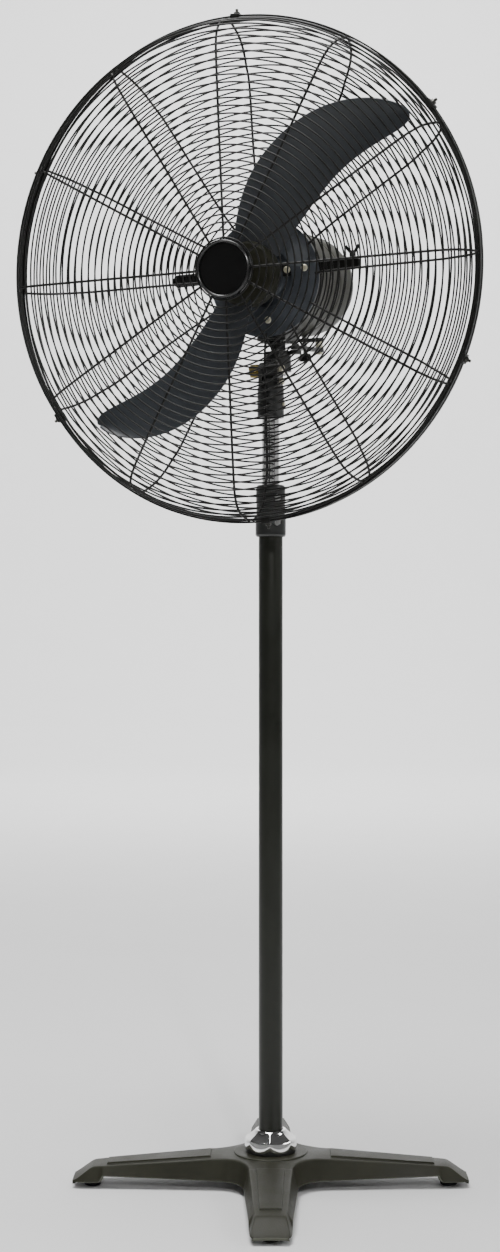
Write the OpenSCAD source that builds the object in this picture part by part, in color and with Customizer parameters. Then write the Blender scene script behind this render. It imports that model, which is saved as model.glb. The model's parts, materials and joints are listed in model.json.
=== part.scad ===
// Industrial pedestal fan: cross base, telescopic column, tilting and oscillating
// head, two-blade propeller inside a wire cage. Millimetres, +Z up, origin on the
// floor under the column, the head blows towards -Y.

/* [Base] */
// Reach of each leg from the column axis
leg_reach = 310; // [260:5:360]
// Turn of the four legs about the column
leg_turn = 22.5; // [0:0.5:45]
// Top of the base hub above the floor
hub_top = 52; // [48:1:56]

/* [Column] */
// Outer radius of the lower tube
post_r = 19; // [18.5:0.1:19.2]
// Outer radius of the sliding tube
mast_r = 14; // [13.5:0.1:14]
// Top of the height collar
collar_top = 1099; // [1080:1:1100]
// Height of the tilt hinge
tilt_z = 1280; // [1270:5:1400]

/* [Head] */
// Nose-down tilt of the head as it stands
rest_tilt = 4.6; // [0:0.1:6]
// Oscillation pivot behind the tilt hinge
pivot_back = 34; // [34:0.5:36]
// Fan axis above the tilt hinge
axis_up = 143; // [142:0.5:145]
// Radius of the motor shell
motor_r = 82; // [81.5:0.1:82.5]
// Rear end of the motor cover behind the hinge
motor_rear = 205; // [203:1:208]

/* [Cage] */
// Outer radius of the rim band
rim_r = 380; // [380:0.5:390]
// Plane of the rim in front of the hinge
rim_front = 110; // [110:1:120]
// Spacing of the guard rings
ring_pitch = 11.3; // [11:0.1:16]
// Radius of the ring wire
ring_wire_r = 1.35; // [1.2:0.05:1.6]
// Width of the spoke wire
spoke_w = 3.6; // [3:0.1:4]
// Number of spokes in each guard
spoke_count = 12; // [8:1:16]
// Radius of the centre badge
badge_r = 38.6; // [36:0.2:39]

/* [Propeller] */
// Radius at the blade tips
tip_r = 343; // [320:1:350]
// Plane of the propeller in front of the hinge
prop_front = 85; // [82:1:88]
// Position of the first blade's root
blade_angle = 66.5; // [0:0.5:180]
// Thickness of the blade sheet
blade_t = 2; // [1.6:0.1:2.4]

/* [Hidden] */
$fn = 64;
hex = 6;

// Base
leg_angles = [for (k = [0:3]) 90 * k - 90 + leg_turn];
nose_r = 29;
flank_half = 44;
flank_taper = 3.2;
flank_lean = 9;
nose_at = leg_reach - nose_r;
foot_at = 280;
foot_r = 11;
foot_h = 12;
nose_z = 10;
skirt_z = 15.5;
skirt_end_z = 21.5;
heel_at = 262;
disc_r = 59;
leg_fall = 18;
leg_slope = atan2(leg_fall, nose_at - 44);
boss_r = 30;
boss_z = 12;
post_foot_z = 20;
bolt_r = 5;

// Column
post_wall = 2;
post_top = 1050;
mast_wall = 1.5;
mast_foot = 680;
mast_top = 1245;
slide_gap = 0.06;
pin_gap = 0.05;
collar_r = 22.5;
collar_skirt_r = 23.7;
collar_foot = 1018;
clamp_turn = -45;
clamp_zs = [1040, 1078];
socket_r = 21;
socket_foot = 1205;
socket_top = 1254;

// Tilt hinge, in the neck's own frame
ear_r = 13;
ear_in = 10;
ear_out = 16;
hinge_r = 4;
tongue_half = 9.7;

// Oscillation pivot and linkage, in the neck's own frame
housing_r = 20;
housing_foot = -2;
housing_top = 31;
waist_r = 12;
waist_top = 42.5;
bush_r = 10;
pin_r = 8;
link_pin_out = 30;
crank_r = 24.5;
link_foot = 33;
knob_foot = 19;
knob_shaft_r = 3.5;
link_h = 6;
arm_h = 6;
crank_foot = 50;
link_eye_r = 8;
mount_screw_xys = [[-17, 13], [17, 13], [-17, 55], [17, 55]];

// Motor, along the fan axis (forward is positive)
shell_wall = 2;
shell_rear = -105;
bell_front = 10;
nose_base_r = 30;
shaft_r = 7.95;
bearing_bore_r = 8;
bearing_r = 17.5;
rotor_r = 45;
stator_in_r = 45.5;
stator_out_r = 79.5;
stack_h = 42;
worm_r = 7;
lay_front = -118;
lay_wheel_r = 10.5;
lay_worm_r = 5;
out_wheel_r = 7.5;
gear_gap = 0.4;
lay_down = worm_r + lay_wheel_r + gear_gap;
crank_side = 8;
crank_back = -lay_front + lay_worm_r + gear_gap + out_wheel_r;
out_shaft_r = 5;

// Support bar and flange screws
bar_half = 158;
bar_w = 20;
bar_t = 3;
bar_up = 8.7;
bar_roll = 1.7;
plate_front = 15.4;
plate_in_r = 46;
plate_out_r = 92;
inner_screw_x = 38;
outer_screw_x = 68;
bar_screw_xs = [-outer_screw_x, -inner_screw_x, inner_screw_x, outer_screw_x];
plate_screw_r = 66;
plate_screw_angles = [94, 274];

// Cage profiles: [radius, distance in front of the rim plane]
front_profile = [
    [40, 60], [60, 60.8], [240, 61], [315, 60], [338, 57.5], [353, 51.5], [363, 41], [369, 29], [376, 9]
];
rear_profile = [
    [84, -96.5], [110, -88], [150, -82], [218, -77.5], [270, -76], [300, -73], [318, -66],
    [335, -60], [350, -51], [362, -38], [370, -23], [376, -9]
];
front_ring_start = 46;
rear_ring_start = 96;
ring_end = 375;
front_roll = 0.6;
rear_roll = 1;
weld = 0.3;
spoke_shift = ring_wire_r + spoke_w / 2 - weld;
band_half = 8;
band_t = 2.5;
clip_angles = [35.5, 88.8, 152.6, 213, 275, 337];

// Propeller
hub_r = 50;
root_r = 22;
blade_stations = 22;
blade_columns = 8;
spider_reach = 82;
spider_w = 40;
root_pitch = 26;
tip_pitch = 13;
rivet_rs = [56, 66, 76];

// Frames ---------------------------------------------------------------------

module in_neck() {
    translate([0, 0, tilt_z]) rotate([rest_tilt, 0, 0]) children();
}

// Local X is the fan's right, local Y is up, local Z is forward along the fan axis
module on_fan_axis() {
    in_neck() translate([0, 0, axis_up]) rotate([90, 0, 0]) children();
}

module at_crank_pin() {
    in_neck() translate([crank_side + crank_r, crank_back, 0]) children();
}

module tube(outer, inner, height) {
    difference() {
        cylinder(r = outer, h = height);
        translate([0, 0, -1]) cylinder(r = inner, h = height + 2);
    }
}

// Base -----------------------------------------------------------------------

function leg_top(r) = hub_top - (r - 44) * leg_fall / (nose_at - 44);

// Corner web between two legs, with a round inner edge
function web_points(w, rad, steps) = concat(
    [[w - 20, w - 20], [w + rad, w - 20]],
    [for (i = [0:steps]) let (a = 270 - 90 * i / steps) [w + rad + rad * cos(a), w + rad + rad * sin(a)]],
    [[w - 20, w + rad]]
);

// Flank that leans in with height and closes towards the nose
module leg_flank() {
    translate([0, flank_half, nose_z]) rotate([0, 0, -flank_taper]) rotate([flank_lean, 0, 0])
        translate([-60, -240, -60]) cube([460, 240, 160]);
}

module leg_body() {
    intersection() {
        rotate([90, 0, 0]) linear_extrude(120, center = true)
            polygon([
                [0, skirt_z], [90, skirt_z],
                [heel_at, skirt_end_z], [heel_at + 4, nose_z], [nose_at, nose_z],
                [nose_at, leg_top(nose_at)], [44, hub_top], [0, hub_top]
            ]);
        leg_flank();
        mirror([0, 1, 0]) leg_flank();
    }
    intersection() {
        translate([nose_at, 0, nose_z]) cylinder(r1 = nose_r, r2 = nose_r - 4, h = 40);
        translate([44, 0, hub_top]) rotate([0, leg_slope, 0])
            translate([180, -50, -80]) cube([140, 100, 80]);
        translate([heel_at + 4, -50, 0]) cube([100, 100, 80]);
    }
}

module leg_pocket() {
    translate([0, 0, -10]) rotate([0, leg_slope, 0])
        linear_extrude(44)
            polygon([[66, -30], [nose_at - 34, -19], [nose_at - 34, 19], [66, 30]]);
}

module leg_panel() {
    translate([44, 0, hub_top]) rotate([0, leg_slope, 0]) translate([0, 0, -3])
        linear_extrude(5)
            polygon([[46, -24], [206, -16.5], [212, -12], [212, 12], [206, 16.5], [46, 24]]);
}

module base_casting() {
    color([0.13, 0.135, 0.12]) difference() {
        union() {
            for (a = leg_angles) rotate([0, 0, a]) leg_body();
            for (a = leg_angles) rotate([0, 0, a]) leg_panel();
            for (a = leg_angles) rotate([0, 0, a])
                translate([0, 0, skirt_z + 1]) linear_extrude(30) polygon(web_points(36, 48, 8));
            translate([0, 0, skirt_z + 2]) cylinder(r = disc_r, h = hub_top - skirt_z - 2);
            translate([0, 0, boss_z]) cylinder(r = boss_r, h = hub_top - boss_z);
        }
        for (a = leg_angles) rotate([0, 0, a]) leg_pocket();
        for (a = leg_angles) rotate([0, 0, a])
            translate([foot_at, 0, -1]) cylinder(r = foot_r, h = foot_h + 1);
        difference() {
            translate([0, 0, -1]) cylinder(r = 52, h = 36);
            translate([0, 0, -2]) cylinder(r = boss_r, h = 40);
        }
        translate([0, 0, post_foot_z]) cylinder(r = post_r, h = 60);
        translate([0, 0, -1]) cylinder(r = bolt_r + 0.5, h = 40);
        translate([0, 0, -1]) cylinder(r = 14, h = 15);
    }
}

module foot_pads() {
    color([0.05, 0.05, 0.05]) for (a = leg_angles)
        rotate([0, 0, a]) translate([foot_at, 0, 0]) cylinder(r = foot_r, h = foot_h);
}

module base_bolt() {
    color([0.6, 0.6, 0.6]) {
        translate([0, 0, 7]) cylinder(r = 9, h = 5, $fn = hex);
        translate([0, 0, 12]) cylinder(r = 12, h = 2);
        translate([0, 0, 12]) cylinder(r = bolt_r, h = 30);
    }
}

module tube_plug() {
    color([0.35, 0.35, 0.35]) translate([0, 0, post_foot_z])
        tube(post_r - post_wall, bolt_r, 25);
}

module chrome_collar() {
    color([0.85, 0.85, 0.86]) rotate_extrude()
        polygon([
            [post_r + 0.1, hub_top], [38.5, hub_top], [39, hub_top + 12], [41, hub_top + 14],
            [41, hub_top + 22], [38.5, hub_top + 25], [26, hub_top + 33], [23, hub_top + 35],
            [post_r + 0.1, hub_top + 35]
        ]);
}

// Column ---------------------------------------------------------------------

module outer_tube() {
    color([0.11, 0.12, 0.11]) translate([0, 0, post_foot_z])
        tube(post_r, post_r - post_wall, post_top - post_foot_z);
}

module clamp_positions() {
    for (z = clamp_zs) translate([0, 0, z]) rotate([0, 0, clamp_turn]) rotate([0, 90, 0]) children();
}

module height_collar() {
    bush_seat = post_r - 1;
    color([0.09, 0.095, 0.09]) difference() {
        rotate_extrude() polygon([
            [bush_seat, post_top], [bush_seat, collar_top - 4], [mast_r + 0.6, collar_top - 4],
            [mast_r + 0.6, collar_top], [collar_r - 1, collar_top], [collar_r, collar_top - 1],
            [collar_r, collar_foot + 40], [collar_skirt_r, collar_foot + 38],
            [collar_skirt_r, collar_foot + 4], [post_r + 1.5, collar_foot],
            [post_r, collar_foot], [post_r, post_top]
        ]);
        clamp_positions() cylinder(r = 3, h = 30);
    }
}

module collar_bush() {
    color([0.75, 0.75, 0.7]) translate([0, 0, post_top])
        tube(post_r - 1, mast_r + slide_gap, collar_top - 4 - post_top);
}

module clamp_screws() {
    color([0.5, 0.5, 0.5]) clamp_positions() {
        translate([0, 0, post_r]) cylinder(r = 3, h = 6);
        translate([0, 0, collar_skirt_r]) cylinder(r = 5.5, h = 5, $fn = hex);
    }
}

module inner_tube() {
    color([0.85, 0.85, 0.87]) translate([0, 0, mast_foot])
        tube(mast_r, mast_r - mast_wall, mast_top - mast_foot);
}

module tube_guide() {
    color([0.7, 0.7, 0.66]) translate([0, 0, mast_foot - 6]) {
        tube(post_r - post_wall - slide_gap, 8, 6);
        translate([0, 0, 6]) tube(mast_r - mast_wall, 8, 20);
    }
}

module ear(x0, x1) {
    translate([x0, 0, tilt_z]) rotate([90, 0, 90]) linear_extrude(x1 - x0) {
        circle(r = ear_r);
        translate([-ear_r + 0.5, socket_top - tilt_z - 6]) square([2 * ear_r - 1, tilt_z - socket_top + 6]);
    }
}

module neck_socket() {
    color([0.08, 0.085, 0.08]) difference() {
        union() {
            rotate_extrude() polygon([
                [0, socket_foot], [socket_r - 1, socket_foot], [socket_r, socket_foot + 1],
                [socket_r, socket_top - 2], [socket_r - 2, socket_top], [0, socket_top]
            ]);
            ear(-ear_out, -ear_in);
            ear(ear_in, ear_out);
        }
        translate([0, 0, socket_foot - 1]) cylinder(r = mast_r, h = mast_top - socket_foot + 1);
        translate([-30, 0, tilt_z]) rotate([0, 90, 0]) cylinder(r = hinge_r + pin_gap, h = 60);
        for (a = [90, 0]) rotate([0, 0, a]) translate([mast_r - 2, 0, 1226])
            rotate([0, 90, 0]) cylinder(r = 3, h = 20);
        translate([ear_in, 0, 1262]) rotate([0, 90, 0]) cylinder(r = 2.5, h = 10);
    }
}

module socket_screws() {
    color([0.72, 0.65, 0.42]) {
        for (a = [90, 0]) rotate([0, 0, a]) translate([mast_r, 0, 1226])
            rotate([0, 90, 0]) cylinder(r = 3, h = 10);
        translate([ear_in + 0.5, 0, 1262]) rotate([0, 90, 0]) cylinder(r = 2.5, h = 6);
        translate([ear_out, 0, 1262]) rotate([0, 90, 0]) cylinder(r = 5, h = 6);
    }
}

module tilt_bolt() {
    color([0.55, 0.55, 0.52]) translate([0, 0, tilt_z]) rotate([0, 90, 0]) {
        translate([0, 0, -30]) cylinder(r = hinge_r, h = 50);
        translate([0, 0, ear_out]) cylinder(r = 7, h = 6, $fn = hex);
    }
}

module tilt_knob() {
    color([0.36, 0.33, 0.16]) translate([-34, 0, tilt_z]) rotate([0, 90, 0]) difference() {
        union() {
            cylinder(r = 8, h = 17.6);
            for (a = [0:60:300]) rotate([0, 0, a]) translate([7, 0, 0]) cylinder(r = 3.4, h = 14);
        }
        translate([0, 0, 3.5]) cylinder(r = hinge_r + pin_gap, h = 20);
    }
}

// Tilting neck ---------------------------------------------------------------

module neck_body() {
    color([0.08, 0.085, 0.08]) in_neck() difference() {
        union() {
            translate([-tongue_half, 0, 0]) rotate([90, 0, 90]) linear_extrude(2 * tongue_half) {
                circle(r = ear_r - 0.5);
                polygon([[-8, 8], [16, 29], [30, 29], [30, 0], [10, -7.2]]);
            }
            translate([0, pivot_back, housing_foot])
                cylinder(r = housing_r, h = housing_top - housing_foot);
            translate([15, pivot_back - 6.5, 25]) cube([link_pin_out - 15, 13, 6]);
            translate([link_pin_out, pivot_back, 25]) cylinder(r = 9, h = 7);
        }
        translate([-20, 0, 0]) rotate([0, 90, 0]) cylinder(r = hinge_r + pin_gap, h = 40);
        translate([0, pivot_back, -20]) cylinder(r = bush_r, h = 80);
    }
}

module pivot_bush() {
    color([0.6, 0.45, 0.22]) in_neck() translate([0, pivot_back, housing_foot])
        tube(bush_r, pin_r + pin_gap, housing_top - housing_foot);
}

// Oscillating head -----------------------------------------------------------

module pivot_pin() {
    color([0.5, 0.5, 0.5]) in_neck() translate([0, pivot_back, 0]) {
        translate([0, 0, -8]) cylinder(r = pin_r, h = 66);
        translate([0, 0, -8]) cylinder(r = 11, h = 3.7);
    }
}

module thrust_washer() {
    color([0.6, 0.6, 0.6]) in_neck() translate([0, pivot_back, housing_top + 0.2])
        tube(12, pin_r, 1.8);
}

module motor_mount() {
    color([0.08, 0.085, 0.08]) difference() {
        in_neck() union() {
            translate([0, pivot_back, link_foot]) cylinder(r = waist_r, h = 16);
            translate([0, pivot_back, waist_top]) cylinder(r = housing_r, h = link_foot + 16 - waist_top);
            translate([-24, 6, 47]) cube([48, 56, 19]);
        }
        in_neck() translate([0, pivot_back, 20]) cylinder(r = pin_r, h = 60);
        in_neck() for (p = mount_screw_xys) translate([p[0], p[1], 40]) cylinder(r = 2.5, h = 40);
        on_fan_axis() translate([0, 0, -120]) cylinder(r = motor_r, h = 140);
    }
}

module mount_screws() {
    color([0.5, 0.5, 0.5]) in_neck() for (p = mount_screw_xys) translate([p[0], p[1], 0]) {
        translate([0, 0, 43]) cylinder(r = 5, h = 4, $fn = hex);
        translate([0, 0, 43]) cylinder(r = 2.5, h = 18);
    }
}

module motor_shell() {
    color([0.2, 0.2, 0.15]) on_fan_axis() translate([0, 0, shell_rear])
        tube(motor_r, motor_r - shell_wall, -shell_rear);
}

module screw_spots(xs) {
    for (x = xs) translate([0, bar_up, 0]) rotate([0, 0, bar_roll]) translate([x, 0, 0]) children();
}

module plate_spots() {
    for (a = plate_screw_angles) rotate([0, 0, a]) translate([plate_screw_r, 0, 0]) children();
}

module front_bell() {
    color([0.19, 0.21, 0.23]) on_fan_axis() difference() {
        union() {
            rotate_extrude() polygon([
                [10, -9], [25, -9], [25, 2], [motor_r - shell_wall, 2], [motor_r - shell_wall, 0],
                [motor_r, 0], [motor_r, 5], [motor_r - 4, 8], [76, bell_front],
                [nose_base_r, bell_front], [24, 22], [19, 24], [10, 24]
            ]);
            plate_spots() cylinder(r = 9, h = 13);
        }
        translate([0, 0, -10]) cylinder(r = bearing_r, h = 14);
        screw_spots(bar_screw_xs) translate([0, 0, 3]) cylinder(r = 2.5, h = 20);
        plate_spots() translate([0, 0, 3]) cylinder(r = 2.5, h = 20);
    }
}

module rear_cover() {
    wall = 3;
    color([0.2, 0.2, 0.15]) on_fan_axis() difference() {
        rotate_extrude() polygon([
            [0, -motor_rear], [42, -motor_rear + 1], [60, -motor_rear + 6], [72, -motor_rear + 16],
            [79, -motor_rear + 30], [motor_r, -motor_rear + 46], [motor_r, shell_rear],
            [motor_r - wall, shell_rear], [motor_r - wall, -motor_rear + 47],
            [76, -motor_rear + 31.5], [69.5, -motor_rear + 18.5], [58.5, -motor_rear + 9],
            [41.5, -motor_rear + 4], [0, -motor_rear + 3]
        ]);
        translate([crank_side, -40, -crank_back]) rotate([90, 0, 0]) cylinder(r = 9.6, h = 60);
        translate([0, -30, -motor_rear - 5]) cylinder(r = 6, h = 20);
        translate([0, 26, -motor_rear - 5]) cylinder(r = 5, h = 20);
    }
}

module stator_core() {
    color([0.45, 0.45, 0.47]) on_fan_axis() translate([0, 0, -80]) tube(stator_out_r, stator_in_r, stack_h);
}

module stator_windings() {
    color([0.55, 0.28, 0.12]) on_fan_axis() for (z = [-96, -36]) translate([0, 0, z])
        rotate_extrude()
            polygon([[52, 1], [55, 0], [70, 0], [73, 3], [73, 10], [70, 12], [55, 12], [52, 11]]);
}

module motor_bearings() {
    color([0.7, 0.7, 0.72]) on_fan_axis() for (z = [-7, -104]) translate([0, 0, z])
        tube(bearing_r, bearing_bore_r, 10);
}

module capacitor() {
    color([0.75, 0.75, 0.7]) on_fan_axis() translate([50, 18, -142]) cylinder(r = 14, h = 34);
}

module gearbox_case() {
    floor_up = -62;
    color([0.5, 0.5, 0.48]) on_fan_axis() difference() {
        union() {
            translate([0, 0, -107]) cylinder(r = motor_r - shell_wall - 1.5, h = 7);
            translate([0, 0, -107]) cylinder(r = 22, h = 14);
            translate([-30, floor_up, -150]) cube([60, -floor_up + 20, 44]);
            translate([crank_side, floor_up + 2, -crank_back]) rotate([90, 0, 0]) cylinder(r = 9, h = 21);
        }
        translate([-26, floor_up + 4, -151]) cube([52, -floor_up + 12, 44]);
        translate([0, 0, -120]) cylinder(r = 10, h = 40);
        translate([0, 0, -104]) cylinder(r = bearing_r, h = 20);
        translate([-40, -lay_down, lay_front]) rotate([0, 90, 0]) cylinder(r = 3 + pin_gap, h = 80);
        translate([crank_side, -40, -crank_back]) rotate([90, 0, 0])
            cylinder(r = out_shaft_r + pin_gap, h = 60);
    }
}

module gearbox_lid() {
    color([0.45, 0.45, 0.43]) on_fan_axis() translate([-30, -62, -153]) cube([60, 82, 3]);
}

module cable_gland() {
    color([0.06, 0.06, 0.06]) on_fan_axis() translate([0, -30, 0]) difference() {
        union() {
            translate([0, 0, -motor_rear - 8]) cylinder(r = 9, h = 8, $fn = hex);
            translate([0, 0, -motor_rear - 8]) cylinder(r = 6, h = 16);
            translate([0, 0, -motor_rear - 14]) cylinder(r = 7.5, h = 7);
        }
        translate([0, 0, -motor_rear - 20]) cylinder(r = 3.5, h = 40);
    }
}

module speed_switch() {
    color([0.15, 0.15, 0.15]) on_fan_axis() {
        translate([-12, 15, -motor_rear + 5]) cube([24, 22, 12]);
        translate([0, 26, -motor_rear - 14]) cylinder(r = 3, h = 22);
        translate([0, 26, -motor_rear - 2]) cylinder(r = 5, h = 10);
    }
}

module speed_knob() {
    color([0.05, 0.05, 0.05]) on_fan_axis() translate([0, 26, -motor_rear - 17]) difference() {
        union() {
            cylinder(r = 13, h = 9);
            translate([0, 0, 6]) cylinder(r = 15, h = 3);
            translate([-3, -14, -4]) cube([6, 28, 5]);
        }
        translate([0, 0, 2]) cylinder(r = 3 + pin_gap, h = 20);
    }
}

// Cage supports --------------------------------------------------------------

module support_arms() {
    color([0.07, 0.075, 0.07]) on_fan_axis() difference() {
        translate([0, bar_up, bell_front]) rotate([0, 0, bar_roll]) linear_extrude(bar_t) {
            square([2 * (bar_half - bar_w / 2), bar_w - 0.6], center = true);
            for (s = [-1, 1]) translate([s * (bar_half - bar_w / 2), 0]) circle(r = bar_w / 2);
        }
        screw_spots(bar_screw_xs) cylinder(r = 2.5, h = 30);
        translate([0, 0, 5]) cylinder(r = nose_base_r + 0.5, h = 20);
    }
}

module flange_screw(head_z) {
    translate([0, 0, 3]) cylinder(r = 2.5, h = head_z - 3);
    translate([0, 0, head_z]) cylinder(r = 5.5, h = 3.5);
}

module flange_screws() {
    color([0.75, 0.7, 0.5]) on_fan_axis() {
        screw_spots([-outer_screw_x, outer_screw_x]) flange_screw(plate_front);
        screw_spots([-inner_screw_x, inner_screw_x]) flange_screw(bell_front + bar_t);
        plate_spots() flange_screw(plate_front);
    }
}

module wing_nut() {
    top = bar_up + bar_w / 2;
    color([0.06, 0.06, 0.06]) on_fan_axis() rotate([0, 0, bar_roll])
        translate([147, top, bell_front + bar_t / 2]) {
            rotate([-90, 0, 0]) cylinder(r = 5, h = 8);
            translate([0, 0, -1.5]) linear_extrude(3)
                polygon([[-4, 4], [-13, 15], [-9, 18], [-3, 9], [3, 9], [9, 18], [13, 15], [4, 4]]);
        }
}

module rear_guard_plate() {
    color([0.07, 0.075, 0.07]) on_fan_axis() difference() {
        translate([0, 0, 13]) tube(plate_out_r, plate_in_r, plate_front - 13);
        screw_spots(bar_screw_xs) cylinder(r = 2.5, h = 30);
        plate_spots() cylinder(r = 2.5, h = 30);
    }
}

// Cage -----------------------------------------------------------------------

// The profile from the first ring outwards, its length, and the point a distance along it
function ring_path(profile, start) =
    concat([[start, lookup(start, profile)]], [for (p = profile) if (p[0] > start) p]);
function path_length(path, i = 0) =
    i > len(path) - 2 ? 0 : norm(path[i + 1] - path[i]) + path_length(path, i + 1);
function path_point(path, along, i = 0) =
    let (step = norm(path[i + 1] - path[i]))
    along <= step ? path[i] + (path[i + 1] - path[i]) * along / step : path_point(path, along - step, i + 1);

module guard_rings(profile, start, edge_out) {
    path = ring_path(profile, start);
    translate([0, 0, rim_front]) {
        for (along = [0:ring_pitch:path_length(path) - ring_pitch / 2])
            rotate_extrude() translate(path_point(path, along)) circle(r = ring_wire_r, $fn = hex);
        translate([0, 0, edge_out]) rotate_extrude() translate([ring_end, 0]) circle(r = 2, $fn = hex);
    }
}

module guard_spokes(profile, shift, roll) {
    half = spoke_w / 2;
    ends = len(profile) - 1;
    outline = concat(
        [for (p = profile) [p[0], p[1] + shift + half]],
        [for (i = [0:ends]) [profile[ends - i][0], profile[ends - i][1] + shift - half]]
    );
    for (k = [0:spoke_count - 1])
        translate([0, 0, rim_front]) rotate([0, 0, roll + 360 * k / spoke_count]) rotate([90, 0, 0])
            translate([0, 0, -half]) linear_extrude(spoke_w) polygon(outline);
}

module front_guard_rings() {
    color([0.09, 0.09, 0.085]) on_fan_axis() guard_rings(front_profile, front_ring_start, 8);
}

module front_guard_spokes() {
    color([0.09, 0.09, 0.085]) on_fan_axis() guard_spokes(front_profile, -spoke_shift, front_roll);
}

module rear_guard_rings() {
    color([0.09, 0.09, 0.085]) on_fan_axis() guard_rings(rear_profile, rear_ring_start, -8);
}

module rear_guard_spokes() {
    color([0.09, 0.09, 0.085]) on_fan_axis() guard_spokes(rear_profile, spoke_shift, rear_roll);
}

module rim_band() {
    color([0.09, 0.1, 0.09]) on_fan_axis() translate([0, 0, rim_front]) rotate_extrude()
        polygon([
            [rim_r - band_t, -band_half], [rim_r - 0.8, -band_half], [rim_r, -band_half + 2],
            [rim_r, -3], [rim_r - 1, -2], [rim_r - 1, 2], [rim_r, 3],
            [rim_r, band_half - 2], [rim_r - 0.8, band_half], [rim_r - band_t, band_half]
        ]);
}

module guard_clips() {
    color([0.08, 0.08, 0.075]) on_fan_axis() for (a = clip_angles)
        rotate([0, 0, a]) translate([0, 0, rim_front]) difference() {
            translate([rim_r - 2.6, -7, -band_half - 3]) cube([5.6, 14, 2 * band_half + 6]);
            translate([rim_r - 8, -8, -band_half - 0.5]) cube([8.3, 16, 2 * band_half + 1]);
        }
}

module clip_screws() {
    color([0.3, 0.3, 0.28]) on_fan_axis() for (a = clip_angles)
        rotate([0, 0, a]) translate([rim_r + 3, 0, rim_front]) rotate([0, 90, 0]) {
            cylinder(r = 4, h = 3);
            translate([0, 0, 3]) cylinder(r = 2.2, h = 5);
        }
}

module badge() {
    color([0.02, 0.02, 0.02]) on_fan_axis() translate([0, 0, rim_front + 59])
        rotate_extrude() polygon([[0, 0], [badge_r, 0], [badge_r, 6], [badge_r - 8, 7], [0, 7.6]]);
}

module badge_rim() {
    color([0.12, 0.12, 0.12]) on_fan_axis() translate([0, 0, rim_front + 59])
        rotate_extrude() polygon([
            [badge_r, 0], [badge_r + 5.5, 0], [badge_r + 5.5, 4], [badge_r + 3.5, 7.5], [badge_r, 7.5]
        ]);
}

// Rotor ----------------------------------------------------------------------

module motor_shaft() {
    color([0.6, 0.6, 0.62]) on_fan_axis()
        translate([0, 0, -108]) cylinder(r = shaft_r, h = prop_front + 24 + 108);
}

module rotor_core() {
    color([0.5, 0.5, 0.5]) on_fan_axis() translate([0, 0, -80]) tube(rotor_r, shaft_r, stack_h);
}

module drive_worm() {
    color([0.6, 0.5, 0.25]) on_fan_axis() translate([0, 0, -128]) cylinder(r = worm_r, h = 20);
}

function smooth_step(t) = t * t * (3 - 2 * t);
function blade_centre(r) = r < 60 ? 0 : -0.0018 * pow(r - 60, 1.7);
function blade_half(r) =
    r < 60 ? 20 + 16 * smooth_step((r - root_r) / (60 - root_r)) :
    r < 180 ? 36 + 15 * sin(90 * (r - 60) / 120) :
    51 * sqrt(max(0.004, 1 - pow((r - 180) / (tip_r - 180), 3)));
function blade_pitch(r) = r < spider_reach ? root_pitch :
    root_pitch + (tip_pitch - root_pitch) * (r - spider_reach) / (tip_r - spider_reach);
function blade_camber(r, v) =
    r < spider_reach ? 0 : 5 * (1 - v * v) * smooth_step(min(1, (r - spider_reach) / 80));

// Station radii run closer together towards the round tip
function station_r(i) = root_r + (tip_r - root_r) * sin(90 * i / blade_stations);

// v runs across the blade from -1, leading and to the rear, to 1, trailing and to the front
function blade_point(i, v, side) =
    let (
        r = station_r(i),
        across = v * blade_half(r) / r * 180 / PI,
        a = blade_centre(r) + across,
        s = r * sin(across) * tan(blade_pitch(r)) - blade_camber(r, v)
    )
    [r * cos(a), r * sin(a), s + side * blade_t / 2];

module blade(turn) {
    nv = blade_columns;
    row = 2 * (nv + 1);
    points = [for (i = [0:blade_stations]) for (j = [0:row - 1])
        j <= nv ? blade_point(i, -1 + 2 * j / nv, 1) : blade_point(i, 1 - 2 * (j - nv - 1) / nv, -1)];
    sides = [for (i = [0:blade_stations - 1]) for (j = [0:row - 1]) let (k = (j + 1) % row)
        each [[i * row + j, i * row + k, (i + 1) * row + k],
              [i * row + j, (i + 1) * row + k, (i + 1) * row + j]]];
    last = blade_stations * row;
    caps = [for (j = [0:nv - 1]) each [
        [j, row - 1 - j, row - 2 - j], [j, row - 2 - j, j + 1],
        [last + j, last + row - 2 - j, last + row - 1 - j], [last + j, last + j + 1, last + row - 2 - j]
    ]];
    on_fan_axis() translate([0, 0, prop_front]) rotate([0, 0, blade_angle + turn])
        polyhedron(points, concat(sides, caps), convexity = 6);
}

module blade_1() {
    color([0.24, 0.26, 0.28]) blade(0);
}

module blade_2() {
    color([0.24, 0.26, 0.28]) blade(180);
}

// Two pitched arms carry the blades, which lie on their front faces
module spider_frame() {
    on_fan_axis() translate([0, 0, prop_front]) for (turn = [0, 180])
        rotate([0, 0, blade_angle + turn]) rotate([root_pitch, 0, 0]) children();
}

module blade_hub() {
    color([0.09, 0.09, 0.08]) difference() {
        union() {
            on_fan_axis() translate([0, 0, prop_front]) rotate_extrude() polygon([
                [shaft_r, -14], [16, -14], [16, 9], [hub_r - 4, 9], [hub_r - 4, -15], [hub_r, -15],
                [hub_r, 9], [hub_r - 4, 13], [shaft_r, 15]
            ]);
            spider_frame() translate([15, -spider_w / 2, -4]) cube([spider_reach - 15, spider_w, 3]);
        }
        spider_frame() for (r = rivet_rs) translate([r, 0, -10]) cylinder(r = 2, h = 20);
    }
}

module blade_rivets() {
    color([0.5, 0.5, 0.5]) spider_frame() for (r = rivet_rs) translate([r, 0, 0]) {
        translate([0, 0, -4]) cylinder(r = 2, h = 5.2);
        translate([0, 0, 1]) cylinder(r = 3, h = 0.6);
        translate([0, 0, -6.5]) cylinder(r = 4, h = 2.5);
    }
}

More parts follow.
